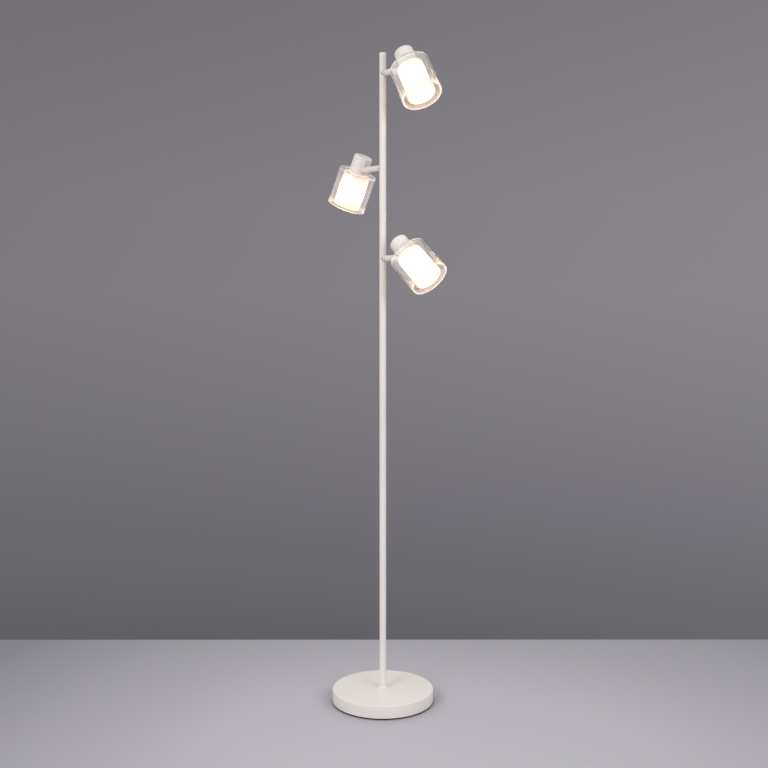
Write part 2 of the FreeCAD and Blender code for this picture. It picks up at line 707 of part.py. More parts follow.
def make_pivot_screw(level):
    body = body_named("pivot_screw_" + level, screw_place[level])
    turned(body, "Screw", [
        (0, -pivot_end), (size.pivotRadius, -pivot_end), (size.pivotRadius, pivot_seat),
        (pivot_head_radius, pivot_seat), (pivot_head_radius, pivot_seat + size.pivotHeadHeight),
        (0, pivot_seat + size.pivotHeadHeight)])
    head_top = pivot_seat + size.pivotHeadHeight
    key = hexagon(sketch_on(body, "XY_Plane", "KeyOutline", head_top), size.pivotKey)
    pocket(body, "KeyHole", key, size.pivotKeyDepth)


# ---------------------------------------------------------------- heads

def make_knuckle_lug(level):
    # frame: the origin on the head's axis level with the pivot, which is at -X
    body = body_named("knuckle_lug_" + level, side_place[level])
    flange_outside = cap_inside - size.lugGap
    flange_inside = flange_outside - size.lugFlangeThickness
    half = lug_flange_half
    flange = outline(sketch_on(body, "XZ_Plane", "FlangeProfile"), [
        (-flange_outside, -half), (-flange_inside, -half), (-flange_inside, half), (-flange_outside, half)])
    feature = body.newObject("PartDesign::Revolution", "Flange")
    feature.Profile = flange
    feature.ReferenceAxis = (flange, ["V_Axis"])
    feature.setExpression("Angle", size.lugFlangeSweep.formula)
    feature.Midplane = True
    document.recompute()
    root = -(flange_inside + size.lugFlangeThickness / 2)
    tab = outline(sketch_on(body, "XZ_Plane", "TabOutline"), [
        (-pivot_axis, -size.lugRadius), (root, -size.lugRadius),
        (root, size.lugRadius), (-pivot_axis, size.lugRadius)])
    pad(body, "Tab", tab, size.lugThickness, midplane=True)
    eye = circle(sketch_on(body, "XZ_Plane", "EyeOutline"), size.lugRadius, x=-pivot_axis)
    pad(body, "Eye", eye, size.lugThickness, midplane=True)
    hole = circle(sketch_on(body, "XZ_Plane", "PivotOutline"), pivot_hole, x=-pivot_axis)
    pocket(body, "PivotHole", hole, size.lugThickness * 2, midplane=True)


def make_socket_cap(level):
    body = body_named("socket_cap_" + level, lamp_place[level])
    turned(body, "Cup", [
        (0, 0), (size.capRadius, 0), (size.capRadius, cap_length), (cap_inside, cap_length),
        (cap_inside, size.capTop), (0, size.capTop)])
    dressed(body, "TopEdge", "Fillet", size.capEdge, [(size.capRadius, ZERO)])
    dressed(body, "InnerEdge", "Fillet", size.capEdge - size.capWall, [(cap_inside, size.capTop)])
    side = size.lugThickness / 2 + size.lugGap
    reach = size.lugRadius + size.lugGap
    slot = outline(sketch_on(body, "YZ_Plane", "SlotOutline"), [
        (-side, size.pivotDrop - reach), (side, size.pivotDrop - reach),
        (side, size.pivotDrop + reach), (-side, size.pivotDrop + reach)])
    pocket(body, "LugSlot", slot)


def make_lampholder(level):
    label = "holder_nipple_" + level
    flange_end = size.capTop + size.nippleFlangeThickness
    turned(body_named(label, lamp_place[level]), "Nipple", [
        (nipple_bore, size.capTop), (nipple_flange, size.capTop), (nipple_flange, flange_end),
        (size.nippleRadius, flange_end), (size.nippleRadius, nipple_end), (nipple_bore, nipple_end)])
    thread = size.nippleRadius + size.threadFit
    collar = cap_inside - size.holderCollarGap
    socket = size.bulbBaseRadius + size.bulbBaseFit
    thread_end = size.holderStart + size.holderThreadDepth
    turned(body_named("lampholder_" + level, lamp_place[level]), "Holder", [
        (thread, size.holderStart), (holder_dome, size.holderStart),
        (size.holderRadius, size.holderStart + size.holderSlope), (size.holderRadius, collar_start),
        (collar, collar_start), (collar, cap_length), (size.holderRadius, cap_length),
        (size.holderRadius, holder_end), (socket, holder_end), (socket, socket_floor),
        (0, socket_floor), (0, thread_end), (thread, thread_end)])


def glass_cup(label, level, radius, top, length, wall, edge):
    """A glass cylinder with a flat holed top and an open, polished mouth."""
    body = body_named(label + "_" + level, lamp_place[level])
    mouth = top + length
    turned(body, "Cup", [
        (glass_hole, top), (radius, top), (radius, mouth), (radius - wall, mouth),
        (radius - wall, top + wall), (glass_hole, top + wall)])
    dressed(body, "TopEdge", "Fillet", edge, [(radius, top)])
    dressed(body, "Rim", "Chamfer", size.glassRim, [(radius, mouth), (radius - wall, mouth)])


def make_shades(level):
    glass_cup("clear_shade", level, clear_radius, cap_length, size.clearLength, size.clearWall,
              size.clearEdge)
    glass_cup("opal_shade", level, opal_radius, opal_top, size.opalLength, size.opalWall, size.opalEdge)
    turned(body_named("shade_spacer_" + level, lamp_place[level]), "Ring", [
        (glass_hole, clear_inner_top), (spacer_radius, clear_inner_top),
        (spacer_radius, opal_top), (glass_hole, opal_top)])
    flange_end = opal_inner_top + size.ringFlange
    ring_end = opal_inner_top + size.ringLength
    turned(body_named("shade_ring_" + level, lamp_place[level]), "Ring", [
        (ring_bore, opal_inner_top), (ring_radius, opal_inner_top), (ring_radius, flange_end),
        (ring_collar, flange_end), (ring_collar, ring_end), (ring_bore, ring_end)])


def make_bulb(level):
    tip = shell_start - size.bulbTipLength
    turned(body_named("bulb_base_" + level, lamp_place[level]), "Shell", [
        (0, tip), (size.bulbTipRadius, tip), (size.bulbBaseRadius, shell_start),
        (size.bulbBaseRadius, shell_end), (0, shell_end)])
    globe = document.addObject("Part::Sphere", level.capitalize() + "Globe")
    globe.setExpression("Radius", size.bulbRadius.formula)
    globe_middle = shell_end + size.bulbHeight - size.bulbRadius
    globe.setExpression("Placement", lamp_place[level] + " * " + shifted(z=globe_middle))
    neck = document.addObject("Part::Cone", level.capitalize() + "Neck")
    neck_end = globe_middle - size.bulbRadius * size.bulbNeckAngle.sine()
    neck.setExpression("Radius1", size.bulbNeckRadius.formula)
    neck.setExpression("Radius2", (size.bulbRadius * size.bulbNeckAngle.cosine()).formula)
    neck.setExpression("Height", (neck_end - shell_end).formula)
    neck.setExpression("Placement", lamp_place[level] + " * " + shifted(z=shell_end))
    bulb = document.addObject("Part::Fuse", "bulb_glass_" + level)
    bulb.Label = "bulb_glass_" + level
    bulb.Base = globe
    bulb.Tool = neck
    document.recompute()
    pieces.append(bulb)


make_base_pad()
make_base_weight()
make_base_cover()
make_base_fasteners()
make_cord_gland()
make_foot_collar()
make_pole()
make_pole_inserts()
make_stub_anchors()
make_rings("swivel_washers", spigot_radius + size.swivelFit, friction_washer_radius, stub_reach,
           size.frictionWasherThickness)
make_rings("swivel_nuts", spigot_radius + size.threadFit, swivel_nut_radius,
           shoulder + size.swivelNutGap, size.swivelNutLength)
for level in LEVELS:
    make_arm_stub(level)
    make_swivel_arm(level)
    make_pivot_screw(level)
    make_knuckle_lug(level)
    make_socket_cap(level)
    make_lampholder(level)
    make_shades(level)
    make_bulb(level)


# ---------------------------------------------------------------- checks and files

document.recompute()
for item in document.Objects:
    if "Invalid" in item.State or "Error" in item.State:
        raise RuntimeError("%s did not compute: %s" % (item.Label, item.State))
for piece in pieces:
    if piece.Shape.isNull() or not piece.Shape.isValid() or not piece.Shape.Solids:
        raise RuntimeError(piece.Label + " has no valid solid")
for piece in pieces:
    piece.Shape.exportStep("parts/%s.step" % piece.Label)
print("%d nodes, %d solids" % (len(pieces), sum(len(piece.Shape.Solids) for piece in pieces)))
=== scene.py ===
import bpy
import bmesh
import json
import math
from mathutils import Matrix, Vector


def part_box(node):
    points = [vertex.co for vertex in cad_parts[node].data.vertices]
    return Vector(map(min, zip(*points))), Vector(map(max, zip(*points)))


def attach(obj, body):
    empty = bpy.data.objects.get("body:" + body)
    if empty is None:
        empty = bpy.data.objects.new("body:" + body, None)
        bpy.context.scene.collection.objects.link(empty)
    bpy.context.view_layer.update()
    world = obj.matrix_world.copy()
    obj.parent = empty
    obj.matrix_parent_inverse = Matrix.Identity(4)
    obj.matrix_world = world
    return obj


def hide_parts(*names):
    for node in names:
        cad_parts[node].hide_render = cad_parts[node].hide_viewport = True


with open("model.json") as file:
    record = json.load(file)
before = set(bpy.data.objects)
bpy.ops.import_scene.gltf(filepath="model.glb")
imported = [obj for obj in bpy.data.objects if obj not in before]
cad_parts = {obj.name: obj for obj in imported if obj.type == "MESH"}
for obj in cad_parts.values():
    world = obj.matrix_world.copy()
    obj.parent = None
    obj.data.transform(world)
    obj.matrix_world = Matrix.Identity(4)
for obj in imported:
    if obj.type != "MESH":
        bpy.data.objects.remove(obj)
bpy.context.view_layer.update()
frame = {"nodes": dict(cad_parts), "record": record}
print("frame loaded:", len(frame["nodes"]), "nodes")

mm = 0.001                    # every piece's dictionary is in millimetres
levels = ("upper", "middle", "lower")
identity = Matrix.Identity(4)


def linked(name, data):
    # a new object, in the scene
    item = bpy.data.objects.new(name, data)
    bpy.context.scene.collection.objects.link(item)
    return item


# places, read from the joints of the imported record

def jointNamed(name):
    joints = frame["record"]["behaviour"]["joints"]
    return [joint for joint in joints if joint["name"] == name][0]


def turnTo(origin, xAxis, zAxis):
    x, z = Vector(xAxis).normalized(), Vector(zAxis).normalized()
    turn = Matrix((x, z.cross(x), z)).transposed().to_4x4()
    return Matrix.Translation(Vector(origin)) @ turn


headFit = {
    "pivotToAxis": 28.7,      # from the tilt pivot to the head's own axis
    "pivotBelowTop": 24.5,    # the tilt pivot's depth below the cap's top
}
armPlace, screwPlace, sidePlace, lampPlace = {}, {}, {}, {}
for level in levels:
    swivel, tilt = jointNamed("swivel_" + level), jointNamed("tilt_" + level)
    along = Vector(swivel["axis"])
    pivot = Vector(tilt["pos_m"])
    across = -Vector(tilt["axis"])
    up = along.cross(across)
    angle = math.radians(-tilt["range_deg"][0])       # at its low end the head hangs straight down
    mouthward = -up * math.cos(angle) + along * math.sin(angle)
    outward = along * math.cos(angle) + up * math.sin(angle)
    headAxis = pivot + outward * headFit["pivotToAxis"] * mm
    capTop = headAxis - mouthward * headFit["pivotBelowTop"] * mm
    armPlace[level] = turnTo((0, 0, pivot.z), -up, along)       # z runs out from the pole's axis
    screwPlace[level] = turnTo(pivot, along, across)            # z runs to the screw's head
    sidePlace[level] = turnTo(headAxis, outward, -mouthward)    # z runs up, from beside the pivot
    lampPlace[level] = turnTo(capTop, outward, mouthward)       # z runs down to the mouth


# the camera stands where the photograph was taken

photoCamera = {
    "lens": 50.3,             # mm, on a sensor this wide
    "sensor": 36,
    "distance": 2.4694,       # metres in front of the pole
    "height": 0.9593,
    "pitchDown": 4.80,        # degrees
    "yawRight": 0.063,
    "nearest": 0.02,          # nothing closer is drawn
}


def makeCamera():
    lens = bpy.data.cameras.new("photoCamera")
    lens.lens = photoCamera["lens"]
    lens.sensor_width = photoCamera["sensor"]
    lens.clip_start = photoCamera["nearest"]
    camera = linked("photoCamera", lens)
    camera.location = (0, -photoCamera["distance"], photoCamera["height"])
    camera.rotation_euler = (math.radians(90 - photoCamera["pitchDown"]), 0,
                             -math.radians(photoCamera["yawRight"]))
    bpy.context.scene.camera = camera


# colours and node trees

def rgb(red, green, blue):
    # a screen colour, 0 to 255, as linear light
    def toLinear(value):
        value /= 255
        return value / 12.92 if value <= 0.04045 else ((value + 0.055) / 1.055) ** 2.4
    return (toLinear(red), toLinear(green), toLinear(blue), 1)


def addNode(tree, kind, inputs=None, **settings):
    # inputs: by name or number; a socket is linked and anything else is set
    made = tree.nodes.new(kind)
    for name, value in settings.items():
        setattr(made, name, value)
    for name, value in (inputs or {}).items():
        socket = made.inputs[name]
        if isinstance(value, bpy.types.NodeSocket):
            tree.links.new(value, socket)
        else:
            socket.default_value = value
    return made


def calc(tree, operation, *values):
    # a Math node's result
    inputs = dict(enumerate(values))
    return addNode(tree, "ShaderNodeMath", inputs, operation=operation).outputs[0]


def noise(tree, where, scale, detail, roughness):
    return addNode(tree, "ShaderNodeTexNoise", {
        "Vector": where, "Scale": scale, "Detail": detail, "Roughness": roughness}).outputs["Fac"]


def ramped(tree, amount, stops, blend="LINEAR"):
    # a Color Ramp through (position, colour) stops
    ramp = tree.nodes.new("ShaderNodeValToRGB")
    ramp.color_ramp.interpolation = blend
    elements = ramp.color_ramp.elements
    for index, (position, colour) in enumerate(stops):
        stop = elements[index] if index < 2 else elements.new(position)
        stop.position = position
        stop.color = colour
    tree.links.new(amount, ramp.inputs[0])
    return ramp.outputs[0]


def nodesOf(material):
    return material.node_tree, material.node_tree.nodes["Principled BSDF"]


surfaceNoise = {
    "driftDetail": 4.0, "driftRoughness": 0.6, "grainDetail": 3.0, "grainRoughness": 0.55,
    "firstColour": 0.3, "secondColour": 0.7,          # where the drift has each of them
    "driftShare": 0.7,        # of the change in roughness; the grain gives the rest
}


def newFinish(name, patches, roughness, grain, bump, colours=None, **constants):
    # patches: how many to a metre; roughness: low and high; grain: bumps to a metre; bump: their
    # height in millimetres; colours: two that drift into each other; constants: plain sockets
    material = bpy.data.materials.new(name)
    material.use_nodes = True
    tree, shader = nodesOf(material)
    where = tree.nodes.new("ShaderNodeTexCoord").outputs["Object"]
    size = surfaceNoise
    drift = noise(tree, where, patches, size["driftDetail"], size["driftRoughness"])
    if colours:
        stops = zip((size["firstColour"], size["secondColour"]), colours)
        tree.links.new(ramped(tree, drift, stops), shader.inputs["Base Color"])
    fine = noise(tree, where, grain, size["grainDetail"], size["grainRoughness"])
    span, share = roughness[1] - roughness[0], size["driftShare"]
    spread = calc(tree, "MULTIPLY_ADD", drift, span * share, roughness[0])
    spread = calc(tree, "MULTIPLY_ADD", fine, span * (1 - share), spread)
    tree.links.new(spread, shader.inputs["Roughness"])
    raised = addNode(tree, "ShaderNodeBump", {
        "Height": fine, "Distance": bump * mm, "Strength": 1.0})
    tree.links.new(raised.outputs[0], shader.inputs["Normal"])
    for socket, value in constants.items():
        shader.inputs[socket.replace("_", " ")].default_value = value
    return material


# the lamp's own light, and light painted on its clear glass

lampGlow = {
    "opalFromTop": (          # share of the opal glass from its top, and its own light there
        (0.0, (0.1, 0.071, 0.045, 1)), (0.14, (0.14, 0.098, 0.066, 1)),
        (0.34, (0.5, 0.32, 0.18, 1)), (0.5, (1, 0.56, 0.27, 1)), (0.68, (0.5, 0.31, 0.17, 1)),
        (0.87, (0.135, 0.078, 0.036, 1)), (1.0, (0.138, 0.086, 0.036, 1))),
    "opalStrength": 7.2,
    "clearPaintedLight": (         # the same for the clear glass, which is no lamp: light is painted on it, and it glows only at its ends
        (0.0, (0.08, 0.068, 0.058, 1)), (0.04, (0.1, 0.087, 0.074, 1)),
        (0.07, (0.015, 0.014, 0.012, 1)), (0.8, (0.03, 0.027, 0.022, 1)),
        (0.93, (0.18, 0.135, 0.095, 1)), (1.0, (0.26, 0.205, 0.155, 1))),
    "clearStrength": 1.0,
    "bulb": rgb(255, 226, 178),
    "bulbStrength": 8.0,
}


def glowFromTop(material, stops, strength):
    # light along the piece; its mesh holds the share of its length as fromTop
    tree, shader = nodesOf(material)
    share = addNode(tree, "ShaderNodeAttribute", attribute_name="fromTop").outputs["Fac"]
    tree.links.new(ramped(tree, share, stops), shader.inputs["Emission Color"])
    shader.inputs["Emission Strength"].default_value = strength
    return material


def clearGlass():
    # drawn glass: slow waves in its surface, a trace of haze, and light painted on its edges as if
    # picked up from the lamp
    glass = newFinish("clearGlass", colours=(rgb(246, 248, 251), rgb(249, 251, 254)), patches=14,
                      roughness=(0.01, 0.05), grain=45, bump=0.02, Transmission_Weight=0.94,
                      IOR=1.48)
    return glowFromTop(glass, lampGlow["clearPaintedLight"], lampGlow["clearStrength"])


def opalGlass():
    # milk glass lit from inside, whitest beside the bulb and creamier towards its ends
    glass = newFinish("opalGlass", colours=(rgb(252, 248, 240), rgb(255, 252, 246)), patches=20,
                      roughness=(0.18, 0.26), grain=60, bump=0.02, Coat_Weight=0.4,
                      Coat_Roughness=0.05)
    return glowFromTop(glass, lampGlow["opalFromTop"], lampGlow["opalStrength"])


def bulbDiffuser():
    return newFinish("bulbDiffuser", colours=(rgb(255, 246, 228), rgb(255, 250, 238)), patches=30,
                     roughness=(0.3, 0.4), grain=300, bump=0.01,
                     Emission_Color=lampGlow["bulb"], Emission_Strength=lampGlow["bulbStrength"])


# plain materials

def whitePaint():
    # powder coat: a faint orange peel over warm white
    return newFinish("whitePaint", colours=(rgb(233, 228, 224), rgb(237, 232, 229)), patches=9,
                     roughness=(0.34, 0.46), grain=1500, bump=0.012, Specular_IOR_Level=0.45)


def nickel():
    return newFinish("nickel", colours=(rgb(196, 190, 180), rgb(214, 208, 198)), patches=60,
                     roughness=(0.18, 0.32), grain=900, bump=0.006, Metallic=1.0)


def porcelain():
    return newFinish("porcelain", colours=(rgb(232, 229, 223), rgb(240, 238, 233)), patches=25,
                     roughness=(0.2, 0.3), grain=400, bump=0.01, Coat_Weight=0.5,
                     Coat_Roughness=0.08)


def whitePlastic():
    return newFinish("whitePlastic", colours=(rgb(226, 223, 217), rgb(234, 231, 226)), patches=30,
                     roughness=(0.35, 0.48), grain=1800, bump=0.01)


def silicone():
    return newFinish("silicone", colours=(rgb(222, 220, 214), rgb(232, 230, 226)), patches=40,
                     roughness=(0.45, 0.6), grain=1200, bump=0.01, Transmission_Weight=0.35,
                     IOR=1.41)


def whiteScrew():
    return newFinish("whiteScrew", colours=(rgb(226, 221, 217), rgb(235, 231, 228)), patches=120,
                     roughness=(0.3, 0.42), grain=2500, bump=0.008)


def zincSteel():
    return newFinish("zincSteel", colours=(rgb(168, 170, 172), rgb(196, 197, 196)), patches=140,
                     roughness=(0.28, 0.5), grain=1100, bump=0.01, Metallic=1.0)


def castIron():
    return newFinish("castIron", colours=(rgb(52, 51, 50), rgb(74, 71, 68)), patches=70,
                     roughness=(0.6, 0.85), grain=500, bump=0.25, Metallic=0.6)


def whiteRubber():
    return newFinish("whiteRubber", colours=(rgb(206, 202, 198), rgb(218, 214, 210)), patches=80,
                     roughness=(0.55, 0.7), grain=2200, bump=0.01)


def darkNylon():
    return newFinish("darkNylon", colours=(rgb(28, 27, 27), rgb(40, 38, 37)), patches=150,
                     roughness=(0.45, 0.6), grain=2500, bump=0.01)


def blackFoam():
    # closed-cell foam: its pores are small pits
    return newFinish("blackFoam", colours=(rgb(22, 22, 23), rgb(36, 36, 37)), patches=60,
                     roughness=(0.75, 0.92), grain=1400, bump=0.12)


finishes = {
    "white_paint": whitePaint(), "clear_glass": clearGlass(), "opal_glass": opalGlass(),
    "bulb_diffuser": bulbDiffuser(), "nickel": nickel(), "porcelain": porcelain(),
    "white_plastic": whitePlastic(), "silicone": silicone(), "white_screw": whiteScrew(),
    "zinc_steel": zincSteel(), "cast_iron": castIron(), "white_rubber": whiteRubber(),
    "dark_nylon": darkNylon(), "black_foam": blackFoam(),
}
print("materials:", len(finishes))


# ways to make a mesh, in millimetres

meshing = {
    "arcStep": math.radians(10),      # a rounded corner turns at most this far from edge to edge
    "onAxis": 1e-3,                   # a lathe's corner nearer than this is on its axis
    "doubled": 1e-4,                  # corners this near are one
    "sharpAngle": 32,                 # degrees; edges that turn more stay sharp
    "softSharpAngle": 50,             # the same after the edges were softened
    "ridgeSharpAngle": 60,            # and on a thread's ridge
    "softenFrom": 40,                 # edges that turn more than this get softened
}


def roundOutline(points):
    # (x, y) or (x, y, radius) corners; a radius turns the corner into an arc
    result = []
    count = len(points)
    for index, point in enumerate(points):
        here = Vector(point[:2])
        radius = point[2] if len(point) > 2 else 0
        if not radius:
            result.append(here)
            continue
        before = (Vector(points[index - 1][:2]) - here).normalized()
        after = (Vector(points[(index + 1) % count][:2]) - here).normalized()
        opening = before.angle(after)
        cut = radius / math.tan(opening / 2)
        centre = here + (before + after).normalized() * (radius / math.sin(opening / 2))
        start, end = here + before * cut - centre, here + after * cut - centre
        sweep = math.atan2(start.cross(end), start.dot(end))
        steps = max(2, int(math.ceil(abs(sweep) / meshing["arcStep"])))
        for k in range(steps + 1):
            result.append(centre + Matrix.Rotation(sweep * k / steps, 2) @ start)
    return result


def settle(mesh, bm, place, sharpAngle):
    # cleans what was built and puts it in its place, in metres
    bmesh.ops.remove_doubles(bm, verts=bm.verts, dist=meshing["doubled"])
    bmesh.ops.recalc_face_normals(bm, faces=bm.faces)
    bm.to_mesh(mesh)
    bm.free()
    mesh.transform(place @ Matrix.Scale(mm, 4))
    mesh.shade_smooth()
    mesh.set_sharp_from_angle(angle=math.radians(sharpAngle))


def finishMesh(name, bm, place):
    mesh = bpy.data.meshes.new(name)
    settle(mesh, bm, place, meshing["sharpAngle"])
    return linked(name, mesh)


def lathe(name, outline, place=identity, sides=96):
    # outline: closed, (radius, height) corners
    points = roundOutline(outline)
    bm = bmesh.new()
    rings = []
    for radius, height in points:
        if radius < meshing["onAxis"]:
            rings.append([bm.verts.new((0, 0, height))] * sides)
            continue
        turns = [2 * math.pi * k / sides for k in range(sides)]
        rings.append([bm.verts.new((radius * math.cos(t), radius * math.sin(t), height))
                      for t in turns])
    for index in range(len(points)):
        low, high = rings[index], rings[(index + 1) % len(points)]
        if low[0] is low[1] and high[0] is high[1]:
            continue
        for k in range(sides):
            j = (k + 1) % sides
            corners = []
            for corner in (low[k], low[j], high[j], high[k]):
                if corner not in corners:
                    corners.append(corner)
            bm.faces.new(corners)
    return finishMesh(name, bm, place)


def rod(name, radius, low, high, place=identity, sides=48):
    return lathe(name, [(0, low), (radius, low), (radius, high), (0, high)], place, sides)


def extruded(name, outline, low, high, place=identity):
    # a closed (x, y) outline pulled from z = low to z = high
    points = roundOutline(outline)
    bm = bmesh.new()
    bottom = [bm.verts.new((x, y, low)) for x, y in points]
    top = [bm.verts.new((x, y, high)) for x, y in points]
    bm.faces.new(list(reversed(bottom)))
    bm.faces.new(top)
    for index in range(len(points)):
        following = (index + 1) % len(points)
        bm.faces.new((bottom[index], bottom[following], top[following], top[index]))
    return finishMesh(name, bm, place)


def circleOutline(radius, centre, sides=48):
    turns = [2 * math.pi * k / sides for k in range(sides)]
    return [(centre[0] + radius * math.cos(t), centre[1] + radius * math.sin(t)) for t in turns]


def hexOutline(flats):
    corner = flats / math.sqrt(3)
    turns = [math.pi * k / 3 for k in range(6)]
    return [(corner * math.cos(t), corner * math.sin(t)) for t in turns]


def boxOutline(x0, x1, y0, y1):
    return [(x0, y0), (x1, y0), (x1, y1), (x0, y1)]


def applied(piece):
    # the piece with its modifiers made real
    bpy.context.view_layer.update()
    evaluated = piece.evaluated_get(bpy.context.evaluated_depsgraph_get())
    mesh = bpy.data.meshes.new_from_object(evaluated)
    piece.modifiers.clear()
    piece.data = mesh
    return piece


def carve(piece, *cutters, join=False):
    for cutter in cutters:
        boolean = piece.modifiers.new("carve", "BOOLEAN")
        boolean.operation = "UNION" if join else "DIFFERENCE"
        boolean.solver = "EXACT"
        boolean.object = cutter
    applied(piece)
    for cutter in cutters:
        bpy.data.objects.remove(cutter)
    return piece


def softenEdges(piece, width):
    # width in millimetres
    bevel = piece.modifiers.new("soften", "BEVEL")
    bevel.width = width * mm
    bevel.segments = 2
    bevel.limit_method = "ANGLE"
    bevel.angle_limit = math.radians(meshing["softenFrom"])
    bevel.use_clamp_overlap = True
    applied(piece)
    piece.data.shade_smooth()
    piece.data.set_sharp_from_angle(angle=math.radians(meshing["softSharpAngle"]))
    return piece


def joined(piece, *others):
    # one mesh of several loose shells
    bm = bmesh.new()
    for item in (piece,) + others:
        bm.from_mesh(item.data)
    bm.to_mesh(piece.data)
    bm.free()
    for item in others:
        bpy.data.objects.remove(item)
    return piece


def dress(piece, body, slot, *nodes):
    # the piece's finish, and what it stands for in the frame
    piece.data.materials.clear()
    piece.data.materials.append(finishes[slot])
    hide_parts(*nodes)
    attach(piece, body)
    return piece


# Geometry Nodes trees

def newTree(name, inputs):
    tree = bpy.data.node_groups.new(name, "GeometryNodeTree")
    tree.interface.new_socket("Geometry", in_out="OUTPUT", socket_type="NodeSocketGeometry")
    for label, value in inputs.items():
        kind = "NodeSocketInt" if isinstance(value, int) else "NodeSocketFloat"
        socket = tree.interface.new_socket(label, in_out="INPUT", socket_type=kind)
        socket.default_value = value
    tree.interface.new_socket("Finish", in_out="INPUT", socket_type="NodeSocketMaterial")
    return tree, tree.nodes.new("NodeGroupInput").outputs


def endTree(tree, geometry, given):
    real = addNode(tree, "GeometryNodeRealizeInstances", {"Geometry": geometry})
    painted = addNode(tree, "GeometryNodeSetMaterial", {
        "Geometry": real.outputs[0], "Material": given["Finish"]})
    leave = tree.nodes.new("NodeGroupOutput")
    tree.links.new(painted.outputs[0], leave.inputs[0])
    return tree


def growFrom(tree, name, sizes, slot, place, sharpAngle=meshing["sharpAngle"]):
    # the tree's result for one set of sizes, as a plain mesh in its place
    piece = linked(name, bpy.data.meshes.new(name))
    modifier = piece.modifiers.new("grow", "NODES")
    modifier.node_group = tree
    for item in tree.interface.items_tree:
        if item.in_out == "INPUT":
            isFinish = item.name == "Finish"
            modifier[item.identifier] = finishes[slot] if isFinish else sizes[item.name]
    applied(piece)
    bm = bmesh.new()
    bm.from_mesh(piece.data)
    settle(piece.data, bm, place, sharpAngle)
    return piece


def makeCupTree():
    # a glass cup with a flat, holed top and an open mouth: six corners, rounded, turned about Z
    tree, given = newTree("glassCup", {
        "Radius": 45.0, "Length": 86.0, "Wall": 3.0, "Hole": 14.0, "Edge": 3.0,
        "Inner Edge": 1.0, "Rim": 0.7, "Sides": 128})
    radius, length, wall, hole, rim = (
        given[label] for label in ("Radius", "Length", "Wall", "Hole", "Rim"))
    inner = calc(tree, "SUBTRACT", radius, wall)
    corners = [(hole, 0.0, rim), (radius, 0.0, given["Edge"]), (radius, length, rim),
               (inner, length, rim), (inner, wall, given["Inner Edge"]), (hole, wall, rim)]
    line = addNode(tree, "GeometryNodeMeshLine", {"Count": len(corners)})
    number = tree.nodes.new("GeometryNodeInputIndex").outputs[0]
    position = addNode(tree, "GeometryNodeIndexSwitch", {"Index": number}, data_type="VECTOR")
    rounding = addNode(tree, "GeometryNodeIndexSwitch", {"Index": number}, data_type="FLOAT")
    for switch in (position, rounding):
        while len(switch.index_switch_items) < len(corners):
            switch.index_switch_items.new()
    for index, (reach, depth, edge) in enumerate(corners):
        point = addNode(tree, "ShaderNodeCombineXYZ", {
            "X": calc(tree, "SUBTRACT", reach, hole), "Y": calc(tree, "MULTIPLY", depth, -1.0)})
        tree.links.new(point.outputs[0], position.inputs[index + 1])
        tree.links.new(edge, rounding.inputs[index + 1])
    placed = addNode(tree, "GeometryNodeSetPosition", {
        "Geometry": line.outputs[0], "Position": position.outputs[0]})
    curve = addNode(tree, "GeometryNodeMeshToCurve", {"Mesh": placed.outputs[0]})
    closed = addNode(tree, "GeometryNodeSetSplineCyclic", {
        "Geometry": curve.outputs[0], "Cyclic": True})
    outline = addNode(tree, "GeometryNodeFilletCurve", {
        "Curve": closed.outputs[0], "Radius": rounding.outputs[0], "Count": 6}, mode="POLY")
    ring = addNode(tree, "GeometryNodeCurvePrimitiveCircle", {
        "Resolution": given["Sides"], "Radius": hole})
    cup = addNode(tree, "GeometryNodeCurveToMesh", {
        "Curve": ring.outputs[0], "Profile Curve": outline.outputs[0]})
    where = tree.nodes.new("GeometryNodeInputPosition").outputs[0]
    height = addNode(tree, "ShaderNodeSeparateXYZ", {"Vector": where}).outputs["Z"]
    marked = addNode(tree, "GeometryNodeStoreNamedAttribute", {
        "Geometry": cup.outputs[0], "Name": "fromTop",
        "Value": calc(tree, "DIVIDE", height, length)}, data_type="FLOAT", domain="POINT")
    return endTree(tree, marked.outputs[0], given)


def makeThreadTree():
    # a ridge that winds up a cylinder
    tree, given = newTree("thread", {
        "Radius": 7.0, "Pitch": 2.0, "Turns": 6.0, "Ridge": 0.5, "Steps": 48})
    path = addNode(tree, "GeometryNodeCurveSpiral", {
        "Resolution": given["Steps"], "Rotations": given["Turns"],
        "Start Radius": given["Radius"], "End Radius": given["Radius"],
        "Height": calc(tree, "MULTIPLY", given["Pitch"], given["Turns"])})
    section = addNode(tree, "GeometryNodeCurvePrimitiveCircle", {
        "Resolution": 8, "Radius": given["Ridge"]})
    ridge = addNode(tree, "GeometryNodeCurveToMesh", {
        "Curve": path.outputs[0], "Profile Curve": section.outputs[0], "Fill Caps": True})
    return endTree(tree, ridge.outputs[0], given)


def makeGripTree():
    # upright ribs round a collar
    tree, given = newTree("grip", {"Radius": 16.4, "Height": 5.0, "Rib": 0.5, "Ribs": 36})
    ring = addNode(tree, "GeometryNodeMeshCircle", {
        "Vertices": given["Ribs"], "Radius": given["Radius"]})
    rib = addNode(tree, "GeometryNodeMeshCylinder", {
        "Vertices": 8, "Radius": given["Rib"], "Depth": given["Height"]})
    ribs = addNode(tree, "GeometryNodeInstanceOnPoints", {
        "Points": ring.outputs[0], "Instance": rib.outputs[0]})
    return endTree(tree, ribs.outputs[0], given)


cupTree, threadTree, gripTree = makeCupTree(), makeThreadTree(), makeGripTree()


def threadRidge(size, radius, slot, place):
    # the thread of the piece that the dictionary describes, round a shell of that radius
    ridge = {"Radius": radius, "Pitch": size["pitch"], "Turns": size["turns"],
             "Ridge": size["crest"], "Steps": size["threadSteps"]}
    lowered = place @ Matrix.Translation((0, 0, size["threadStart"] * mm))
    return growFrom(threadTree, "ridge", ridge, slot, lowered, meshing["ridgeSharpAngle"])


